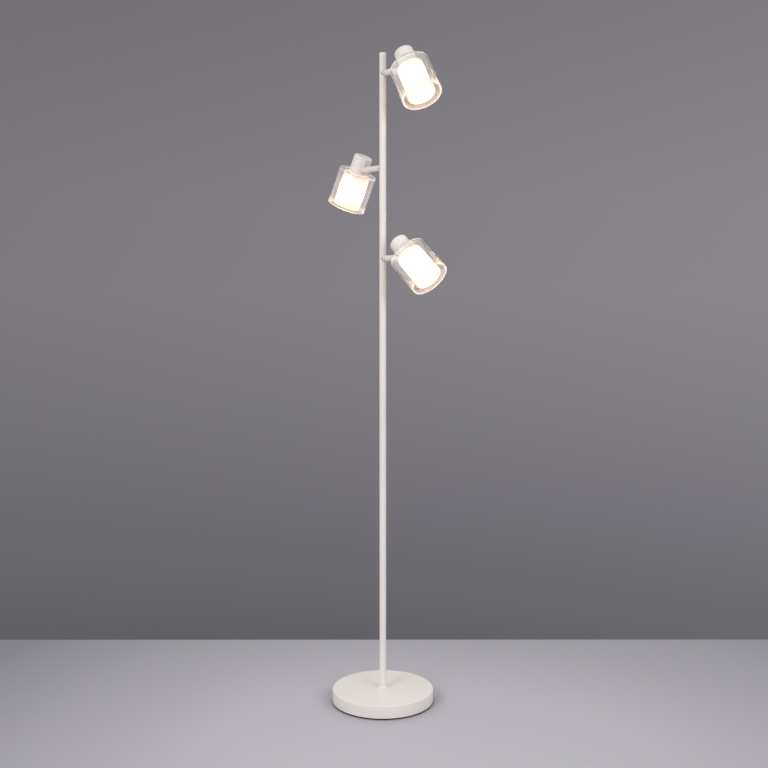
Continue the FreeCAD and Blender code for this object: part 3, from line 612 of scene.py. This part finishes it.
# base, measured up from the floor; in every dictionary a Cut is half the length of a cutting
# shape, and a Past is how far one runs beyond the piece

padSizes = {"radius": 112, "thickness": 3.2, "edge": 0.7}
coverSizes = {
    "radius": 118.5, "bottom": 3.2, "top": 31.5, "wall": 1.5, "edge": 1.3, "lowerEdge": 0.35,
    "middleHole": 5.2, "glandHole": 5.0, "glandHeight": 14, "glandCut": 10}
glandSizes = {
    "bore": 3.2, "neck": 4.9, "flange": 7, "thickness": 1.8, "innerFace": -1.75,
    "innerEdge": 0.4, "neckEdge": 0.2, "root": 0.3, "outerEdge": 0.9, "boreEdge": 0.8}
collarSizes = {"bore": 7.85, "radius": 12.7, "height": 5, "edge": 1, "lowerEdge": 0.3}
glandPlace = turnTo((0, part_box("base_cover")[1].y, coverSizes["glandHeight"] * mm),
                    (1, 0, 0), (0, 1, 0))             # z runs out at the back


def makeBase():
    size = padSizes
    pad = lathe("basePad", [
        (0, 0), (size["radius"], 0, size["edge"]),
        (size["radius"], size["thickness"], size["edge"]), (0, size["thickness"])], sides=192)
    dress(pad, "stand", "black_foam", "base_pad")
    size = coverSizes
    inside, ceiling = size["radius"] - size["wall"], size["top"] - size["wall"]
    cover = lathe("baseCover", [
        (size["middleHole"], size["top"]), (size["radius"], size["top"], size["edge"]),
        (size["radius"], size["bottom"], size["lowerEdge"]),
        (inside, size["bottom"], size["lowerEdge"]), (inside, ceiling, size["lowerEdge"]),
        (size["middleHole"], ceiling)], sides=256)
    hole = rod("hole", size["glandHole"], -size["glandCut"], size["glandCut"], glandPlace)
    dress(carve(cover, hole), "stand", "white_paint", "base_cover")
    size = glandSizes
    bore, neck, flange = size["bore"], size["neck"], size["flange"]
    inner, outer = size["innerFace"], size["thickness"]
    gland = lathe("cordGland", [
        (bore, inner - outer, size["innerEdge"]), (flange, inner - outer, size["innerEdge"]),
        (flange, inner, size["innerEdge"]), (neck, inner, size["neckEdge"]),
        (neck, 0, size["neckEdge"]), (flange, 0, size["root"]),
        (flange, outer, size["outerEdge"]), (bore, outer, size["boreEdge"])],
        glandPlace, sides=64)
    dress(gland, "stand", "white_rubber", "cord_gland")
    size = collarSizes
    foot = coverSizes["top"]
    top = foot + size["height"]
    collar = lathe("footCollar", [
        (size["bore"], foot), (size["radius"], foot, size["lowerEdge"]),
        (size["radius"], top, size["edge"]), (size["bore"], top, size["lowerEdge"])])
    dress(collar, "stand", "white_paint", "foot_collar")


# pole

poleSizes = {
    "radius": 7.75, "inside": 6.75, "joints": (511.5, 991.5), "end": 1497.5, "seam": 0.22,
    "top": 1500, "topEdge": 0.9, "spigot": 9, "spigotRadius": 6.7, "spigotEdge": 0.5}


def makePole():
    size = poleSizes
    radius, inside, seam = size["radius"], size["inside"], size["seam"]
    ends = (coverSizes["top"],) + size["joints"] + (size["end"],)
    for name, low, high in zip(("Lower", "Middle", "Upper"), ends, ends[1:]):
        section = lathe("pole" + name, [
            (inside, low), (radius, low, seam), (radius, high, seam), (inside, high)], sides=64)
        dress(section, "stand", "white_paint", "pole_" + name.lower())
    end, tip = size["end"], size["end"] - size["spigot"]
    cap = lathe("poleTopCap", [
        (0, tip), (size["spigotRadius"], tip, size["spigotEdge"]), (size["spigotRadius"], end),
        (radius, end, seam), (radius, size["top"], size["topEdge"]), (0, size["top"])], sides=64)
    dress(cap, "stand", "white_paint", "pole_top_cap")


# arms, measured out from the pole's axis, and their screws from the tilt's axis

stubSizes = {
    "start": 3, "bore": 2, "radius": 7.1, "reach": 14, "edge": 0.35, "spigot": 4,
    "spigotEnd": 29.5, "saddle": 7.78, "saddleCut": 20}
armSizes = {
    "radius": 6.8, "start": 14.9, "bore": 4.06, "shoulder": 25.4, "chamber": 5.4,
    "chamberEnd": 51.4, "wireBore": 2, "pivot": 64.4, "slot": 5, "slotFloor": 58.4,
    "slotCut": 10, "pivotHole": 2.05, "seat": 5, "seatRadius": 3.5, "edge": 0.35,
    "pastSide": 4, "pastEnd": 5, "noseSteps": 24}
screwSizes = {
    "shank": 2, "end": 5.8, "tipEdge": 0.3, "seat": 5, "head": 3.2, "headHeight": 1.5,
    "headEdge": 0.45, "key": 2.5, "keyDepth": 1, "keyPast": 1}


def makeStub(level):
    size = stubSizes
    place = armPlace[level]
    stub = lathe("armStub_" + level, [
        (size["bore"], size["start"]), (size["radius"], size["start"]),
        (size["radius"], size["reach"], size["edge"]), (size["spigot"], size["reach"]),
        (size["spigot"], size["spigotEnd"]), (size["bore"], size["spigotEnd"])], place, sides=64)
    height = place.translation.z / mm
    pole = rod("poleRound", size["saddle"], height - size["saddleCut"],
               height + size["saddleCut"], sides=96)
    dress(carve(stub, pole), "stand", "white_paint", "arm_stub_" + level)


def makeArm(level):
    # z runs out along the arm, y along the tilt screw
    size = armSizes
    place = armPlace[level]
    radius, pivot = size["radius"], size["pivot"]
    end = pivot + radius
    arm = lathe("swivelArm_" + level, [
        (size["bore"], size["start"]), (radius, size["start"], size["edge"]), (radius, end),
        (size["wireBore"], end), (size["wireBore"], size["chamberEnd"]),
        (size["chamber"], size["chamberEnd"]), (size["chamber"], size["shoulder"]),
        (size["bore"], size["shoulder"])], place, sides=64)
    upright = place @ Matrix.Rotation(math.radians(90), 4, "X")       # its z runs along the screw
    half, past, beyond = size["slot"] / 2, radius + size["pastSide"], end + size["pastEnd"]
    slot = extruded("slot", boxOutline(-size["slotCut"], size["slotCut"], size["slotFloor"],
                                       beyond), -half, half, upright)
    nose = [(-past, pivot), (-radius, pivot)]         # all that lies outside the round nose
    for k in range(1, size["noseSteps"]):
        turn = math.pi * (1 - k / size["noseSteps"])
        nose.append((radius * math.cos(turn), pivot + radius * math.sin(turn)))
    nose += [(radius, pivot), (past, pivot), (past, beyond), (-past, beyond)]
    outside = extruded("outside", nose, -past, past, upright)
    pivotHole = extruded("pivotHole", circleOutline(size["pivotHole"], (0, pivot)),
                         -past, past, upright)
    seat = extruded("seat", circleOutline(size["seatRadius"], (0, pivot)),
                    -past, -size["seat"], upright)
    softenEdges(carve(arm, slot, outside, pivotHole, seat), size["edge"])
    dress(arm, "arm_" + level, "white_paint", "swivel_arm_" + level)


def makeScrew(level):
    size = screwSizes
    place = screwPlace[level]
    top = size["seat"] + size["headHeight"]
    screw = lathe("pivotScrew_" + level, [
        (0, -size["end"]), (size["shank"], -size["end"], size["tipEdge"]),
        (size["shank"], size["seat"]), (size["head"], size["seat"]),
        (size["head"], top, size["headEdge"]), (0, top)], place, sides=48)
    key = extruded("key", hexOutline(size["key"]), top - size["keyDepth"],
                   top + size["keyPast"], place)
    dress(carve(screw, key), "arm_" + level, "white_screw", "pivot_screw_" + level)


# heads, measured from the cap's top towards the mouth

lugSizes = {
    "radius": 5.4, "endFlat": 0.01, "thickness": 4.6, "hole": 2.05, "holePast": 2, "edge": 0.4,
    "flangeOut": 20.2, "flangeIn": 18.8, "flangeHeight": 20, "sweep": 44, "sweepSteps": 12}
capSizes = {
    "radius": 21.5, "length": 39.8, "inside": 20.3, "top": 1.5, "edge": 4.2, "innerEdge": 3,
    "slotHalf": 2.4, "slotReach": 5.5, "slotOut": 3, "slotIn": 4, "rim": 0.3}
holderSizes = {
    "start": 8, "dome": 11, "domeEdge": 0.8, "skirt": 13.2, "skirtEdge": 1, "slopeEnd": 14,
    "collarStart": 36.4, "collar": 19.9, "collarEnd": 39.8, "collarEdge": 0.5,
    "collarLowerEdge": 0.4, "end": 57, "endEdge": 0.6, "socket": 7.2, "socketFloor": 33,
    "threadFloor": 18, "thread": 5.05, "threadStart": 41.6, "pitch": 2.2, "turns": 6.5,
    "crest": 0.68, "threadSteps": 48}
spacerSizes = {"bore": 14.3, "radius": 19.2, "start": 42.8, "end": 46.1, "edge": 0.5}
ringSizes = {
    "bore": 13.95, "flange": 19, "start": 48.7, "flangeEnd": 50.5, "collar": 16.0, "end": 55.7,
    "edge": 0.3, "ribs": 40, "rib": 0.4, "ribGap": 0.6}
clearSizes = {
    "Radius": 45.1, "Length": 86.6, "Wall": 3.0, "Hole": 14.3, "Edge": 3.2, "Inner Edge": 1.2,
    "Rim": 0.7, "Sides": 144}
opalSizes = {
    "Radius": 31.0, "Length": 76.4, "Wall": 2.6, "Hole": 14.3, "Edge": 3.0, "Inner Edge": 1.0,
    "Rim": 0.7, "Sides": 128}
bulbSizes = {
    "shellStart": 35.25, "shell": 6.5, "shellEdge": 0.4, "shellEnd": 57.45, "tip": 2.4,
    "tipLength": 2.2, "tipEdge": 0.8, "threadStart": 37.25, "pitch": 2.8, "turns": 6.0,
    "crest": 0.48, "threadSteps": 40, "neck": 10.5, "neckEdge": 0.5, "globe": 22.5,
    "height": 50.5, "globeSteps": 22, "housingEnd": 68, "housingEdge": 0.3, "gap": 0.05}


def makeLug(level):
    # the round eye between the fork's ears, and the flange that holds it inside the cap
    size = lugSizes
    place = sidePlace[level]
    flat = place @ Matrix.Rotation(math.radians(90), 4, "X")
    half, radius, steps = size["thickness"] / 2, size["radius"], size["sweepSteps"]
    pivot = -headFit["pivotToAxis"]
    far, root = pivot - radius, -(size["flangeIn"] + size["flangeOut"]) / 2
    end = radius - size["endFlat"]                    # so the end is all but a half circle
    lug = extruded("knuckleLug_" + level, [
        (far, -radius, end), (root, -radius), (root, radius), (far, radius, end)],
        -half, half, flat)
    first = 180 - size["sweep"] / 2
    arc = [math.radians(first + size["sweep"] * k / steps) for k in range(steps + 1)]
    outline = [(size["flangeOut"] * math.cos(a), size["flangeOut"] * math.sin(a)) for a in arc]
    outline += [(size["flangeIn"] * math.cos(a), size["flangeIn"] * math.sin(a))
                for a in reversed(arc)]
    flange = extruded("flange", outline, -size["flangeHeight"] / 2, size["flangeHeight"] / 2,
                      place)
    carve(lug, flange, join=True)
    past = half + size["holePast"]
    hole = extruded("hole", circleOutline(size["hole"], (pivot, 0)), -past, past, flat)
    softenEdges(carve(lug, hole), size["edge"])
    dress(lug, "head_" + level, "white_paint", "knuckle_lug_" + level)


def makeCap(level):
    size = capSizes
    place = lampPlace[level]
    radius, inside = size["radius"], size["inside"]
    cap = lathe("socketCap_" + level, [
        (0, 0), (radius, 0, size["edge"]), (radius, size["length"], size["rim"]),
        (inside, size["length"]), (inside, size["top"], size["innerEdge"]), (0, size["top"])],
        place)
    across = boxOutline(-radius - size["slotOut"], -inside + size["slotIn"],
                        -size["slotHalf"], size["slotHalf"])      # through the wall by the arm
    middle = headFit["pivotBelowTop"]
    slot = extruded("slot", across, middle - size["slotReach"], middle + size["slotReach"], place)
    dress(carve(cap, slot), "head_" + level, "white_paint", "socket_cap_" + level)


def makeHolder(level):
    size = holderSizes
    place = lampPlace[level]
    skirt, collar, end = size["skirt"], size["collar"], size["end"]
    holder = lathe("lampholder_" + level, [
        (size["thread"], size["start"]), (size["dome"], size["start"], size["domeEdge"]),
        (skirt, size["slopeEnd"], size["skirtEdge"]), (skirt, size["collarStart"]),
        (collar, size["collarStart"], size["collarEdge"]),
        (collar, size["collarEnd"], size["collarLowerEdge"]), (skirt, size["collarEnd"]),
        (skirt, end, size["endEdge"]), (size["socket"], end, size["endEdge"]),
        (size["socket"], size["socketFloor"]), (0, size["socketFloor"]),
        (0, size["threadFloor"]), (size["thread"], size["threadFloor"])], place, sides=72)
    ridge = threadRidge(size, skirt, "porcelain", place)
    dress(joined(holder, ridge), "head_" + level, "porcelain", "lampholder_" + level)


def makeShades(level):
    place = lampPlace[level]
    body = "head_" + level

    def lowered(distance):
        return place @ Matrix.Translation((0, 0, distance * mm))

    clear = growFrom(cupTree, "clearShade_" + level, clearSizes, "clear_glass",
                     lowered(capSizes["length"]))
    dress(clear, body, "clear_glass", "clear_shade_" + level)
    opal = growFrom(cupTree, "opalShade_" + level, opalSizes, "opal_glass",
                    lowered(spacerSizes["end"]))
    dress(opal, body, "opal_glass", "opal_shade_" + level)
    size = spacerSizes
    spacer = lathe("shadeSpacer_" + level, [
        (radius, height, size["edge"]) for radius, height in (
            (size["bore"], size["start"]), (size["radius"], size["start"]),
            (size["radius"], size["end"]), (size["bore"], size["end"]))], place, sides=72)
    dress(spacer, body, "silicone", "shade_spacer_" + level)
    size = ringSizes
    edge, end, flangeEnd = size["edge"], size["end"], size["flangeEnd"]
    ring = lathe("shadeRing_" + level, [
        (size["bore"], size["start"]), (size["flange"], size["start"], edge),
        (size["flange"], flangeEnd, edge), (size["collar"], flangeEnd),
        (size["collar"], end, edge), (size["bore"], end, edge)], place, sides=72)
    ribHeight = end - flangeEnd - size["ribGap"]
    grip = growFrom(gripTree, "grip", {
        "Radius": size["collar"], "Height": ribHeight, "Rib": size["rib"],
        "Ribs": size["ribs"]}, "white_plastic", lowered(flangeEnd + ribHeight / 2))
    dress(joined(ring, grip), body, "white_plastic", "shade_ring_" + level)


def makeBulb(level):
    size = bulbSizes
    place = lampPlace[level]
    body = "head_" + level
    start, end, globe = size["shellStart"], size["shellEnd"], size["globe"]
    tip = start - size["tipLength"]
    shell = lathe("bulbBase_" + level, [
        (0, tip), (size["tip"], tip, size["tipEdge"]), (size["shell"], start, size["shellEdge"]),
        (size["shell"], end), (0, end)], place, sides=48)
    ridge = threadRidge(size, size["shell"], "nickel", place)
    dress(joined(shell, ridge), body, "nickel", "bulb_base_" + level)
    middle = end + size["height"] - globe             # of the globe
    below = math.asin((middle - size["housingEnd"]) / globe)
    waist = globe * math.cos(below)
    housing = lathe("bulbHousing_" + level, [
        (0, end), (size["neck"], end, size["neckEdge"]),
        (waist, size["housingEnd"], size["housingEdge"]), (0, size["housingEnd"])],
        place, sides=64)
    dress(housing, body, "white_plastic", "bulb_glass_" + level)
    low, steps = size["housingEnd"] + size["gap"], size["globeSteps"]
    turns = [-below + (math.pi / 2 + below) * k / steps for k in range(steps + 1)]
    outline = [(globe * math.cos(t), middle + globe * math.sin(t)) for t in turns]
    outline[0] = (outline[0][0], low)
    outline[-1] = (0, outline[-1][1])
    diffuser = lathe("bulbDiffuser_" + level, [(0, low)] + outline, place, sides=64)
    dress(diffuser, body, "bulb_diffuser", "bulb_glass_" + level)


# finishes for the CAD nodes that stay as they are

keptNodes = {
    "base_weight": "cast_iron", "base_rod": "zinc_steel", "base_washer": "zinc_steel",
    "base_nut": "zinc_steel", "pole_joiner_lower": "zinc_steel",
    "pole_joiner_upper": "zinc_steel", "foot_insert": "zinc_steel", "stub_anchors": "zinc_steel",
    "swivel_nuts": "zinc_steel", "swivel_washers": "dark_nylon",
    **{"holder_nipple_" + level: "zinc_steel" for level in levels},
}


def paintKeptNodes():
    for name, slot in keptNodes.items():
        mesh = frame["nodes"][name].data
        mesh.materials.clear()
        mesh.materials.append(finishes[slot])


# floor, background and light

stageSizes = {                # metres
    "wallLine": 0.448,        # the floor's far edge, behind the pole
    "side": 4.0,
    "front": 4.0,
    "brightest": (0.0, -0.25),
    "toLeft": 1.25,           # how fast the light painted on the floor falls off from there, to each side and backwards
    "toRight": 0.8,
    "toBack": 1.0,
    "tonesEnd": 1.4,          # where the tones below end
    "contactEnd": 0.2,        # the shadow painted round the base ends within this, measured from the pole
    "tint": (0, -2, 8),       # added to a tone's red, green and blue
}
floorLightPool = (                # share of the way to tonesEnd, and the tone there: a pool of light painted on the floor
    (0.0, 188), (0.28, 184), (0.45, 172), (0.6, 165), (0.74, 159), (0.95, 140), (1.0, 138))
contactShade = (              # share of the way to contactEnd, and how much of the colour the painted shadow leaves
    (0.0, 0.05), (0.578, 0.05), (0.594, 0.72), (0.64, 0.9), (0.8, 1.0))


def makeFloor():
    side, front, back = stageSizes["side"], -stageSizes["front"], stageSizes["wallLine"]
    mesh = bpy.data.meshes.new("floor")
    corners = [(-side, front, 0), (side, front, 0), (side, back, 0), (-side, back, 0)]
    mesh.from_pydata(corners, [], [(0, 1, 2, 3)])
    floor = linked("floor", mesh)
    paper = newFinish("floorPaper", patches=1.5, roughness=(0.7, 0.85), grain=300, bump=0.02)
    tree, shader = nodesOf(paper)
    where = tree.nodes.new("ShaderNodeTexCoord").outputs["Object"]
    parts = addNode(tree, "ShaderNodeSeparateXYZ", {"Vector": where}).outputs
    brightX, brightY = stageSizes["brightest"]
    sideways = calc(tree, "SUBTRACT", parts["X"], brightX)
    backwards = calc(tree, "SUBTRACT", parts["Y"], brightY)
    weighed = addNode(tree, "ShaderNodeCombineXYZ", {
        "X": calc(tree, "MAXIMUM", calc(tree, "MULTIPLY", sideways, stageSizes["toRight"]),
                  calc(tree, "MULTIPLY", sideways, -stageSizes["toLeft"])),
        "Y": calc(tree, "MULTIPLY", backwards, stageSizes["toBack"])}).outputs[0]

    def lengthShare(vector, end):
        length = addNode(tree, "ShaderNodeVectorMath", {0: vector}, operation="LENGTH")
        return calc(tree, "DIVIDE", length.outputs["Value"], end)

    # a pool of light painted into the floor's colour, brightest in front of the pole
    tone = ramped(tree, lengthShare(weighed, stageSizes["tonesEnd"]), [
        (position, rgb(*(tone + tint for tint in stageSizes["tint"])))
        for position, tone in floorLightPool], "B_SPLINE")
    # a shadow painted into the floor's colour, under the base and just round it
    shade = ramped(tree, lengthShare(where, stageSizes["contactEnd"]),
                   [(position, (left, left, left, 1)) for position, left in contactShade])
    shaded = addNode(tree, "ShaderNodeVectorMath", {0: tone, "Scale": shade}, operation="SCALE")
    tree.links.new(shaded.outputs[0], shader.inputs["Base Color"])
    mesh.materials.append(paper)


backdropTones = (             # sine of the angle above the horizon, and the tone there; painted shade darkens the backdrop below the horizon and towards the top
    (-1.0, (84, 83, 88)), (-0.32, (96, 95, 101)), (-0.279, (103, 102, 107)),
    (-0.19, (115, 113, 119)), (-0.0985, (124, 122, 127)), (0.0, (131, 128, 134)),
    (0.086, (130, 127, 133)), (0.25, (121, 118, 123)), (1.0, (112, 110, 114)))
skyLight = {
    "colour": (1.0, 0.985, 0.97, 1),
    "fromAbove": 0.84,
    "fromBelow": 0.05,
    "rightward": 0.3,         # how much lighter the backdrop is painted towards the right, as painted light
    "panelStrength": 3.0,     # added to the backdrop's 1 in the pale panels that gloss shows
    "panelStart": 0.42,       # how far to each side these begin, as a sine
    "panelFull": 0.7,
}


def makeWorld():
    world = bpy.data.worlds.new("studio")
    bpy.context.scene.world = world
    world.use_nodes = True
    tree = world.node_tree
    tree.nodes.clear()
    direction = tree.nodes.new("ShaderNodeTexCoord").outputs["Generated"]
    parts = addNode(tree, "ShaderNodeSeparateXYZ", {"Vector": direction}).outputs
    height = calc(tree, "MULTIPLY_ADD", parts["Z"], 0.5, 0.5)         # -1 to 1 as 0 to 1
    tones = [(sine * 0.5 + 0.5, rgb(*colour)) for sine, colour in backdropTones]
    lighter = calc(tree, "MULTIPLY_ADD", parts["X"], skyLight["rightward"], 1.0)
    ray = tree.nodes.new("ShaderNodeLightPath").outputs
    panel = addNode(tree, "ShaderNodeMapRange", {
        "Value": calc(tree, "ABSOLUTE", parts["X"]), "From Min": skyLight["panelStart"],
        "From Max": skyLight["panelFull"], "To Max": skyLight["panelStrength"]},
        interpolation_type="SMOOTHSTEP")
    panelSeen = calc(tree, "MULTIPLY", panel.outputs[0], ray["Is Glossy Ray"])
    seen = addNode(tree, "ShaderNodeBackground", {
        "Color": ramped(tree, height, tones), "Strength": calc(tree, "ADD", lighter, panelSeen)})
    fromAbove = addNode(tree, "ShaderNodeMapRange", {
        "Value": parts["Z"], "From Min": -1.0, "To Min": skyLight["fromBelow"],
        "To Max": skyLight["fromAbove"]})
    light = addNode(tree, "ShaderNodeBackground", {
        "Color": skyLight["colour"], "Strength": fromAbove.outputs[0]})
    direct = calc(tree, "MAXIMUM", ray["Is Camera Ray"], ray["Is Glossy Ray"])
    shown = calc(tree, "MAXIMUM", direct, ray["Is Transmission Ray"])
    mix = addNode(tree, "ShaderNodeMixShader", {0: shown, 1: light.outputs[0], 2: seen.outputs[0]})
    leave = tree.nodes.new("ShaderNodeOutputWorld")
    tree.links.new(mix.outputs[0], leave.inputs["Surface"])


softLights = {                # place, width, watts, colour
    "keyLight": ((-1.25, -1.65, 1.45), 1.0, 17.5, (1.0, 0.985, 0.975)),
    "fillLight": ((1.35, -1.6, 1.4), 1.0, 13, (1.0, 0.98, 0.965)),
}
lightsAim = (0, 0, 0.7)
lightPaths = {                # the glass needs many bounces
    "max_bounces": 24, "glossy_bounces": 12, "transmission_bounces": 24}


def makeLights():
    for name, (place, width, watts, colour) in softLights.items():
        lamp = bpy.data.lights.new(name, "AREA")
        lamp.shape = "DISK"
        lamp.size = width
        lamp.energy = watts
        lamp.color = colour
        item = linked(name, lamp)
        item.location = place
        towards = Vector(lightsAim) - Vector(place)
        item.rotation_euler = towards.to_track_quat("-Z", "Y").to_euler()
        item.visible_camera = item.visible_transmission = False
    for setting, bounces in lightPaths.items():
        setattr(bpy.context.scene.cycles, setting, bounces)


makeCamera()
makeBase()
print("base made")
makePole()
print("pole made")
for level in levels:
    makeStub(level)
    makeArm(level)
    makeScrew(level)
    makeLug(level)
    makeCap(level)
    makeHolder(level)
    makeShades(level)
    makeBulb(level)
    print(level, "arm and head made")
paintKeptNodes()
makeFloor()
makeWorld()
makeLights()
bpy.context.scene.view_settings.view_transform = "Standard"
print("floor, background and lights made")
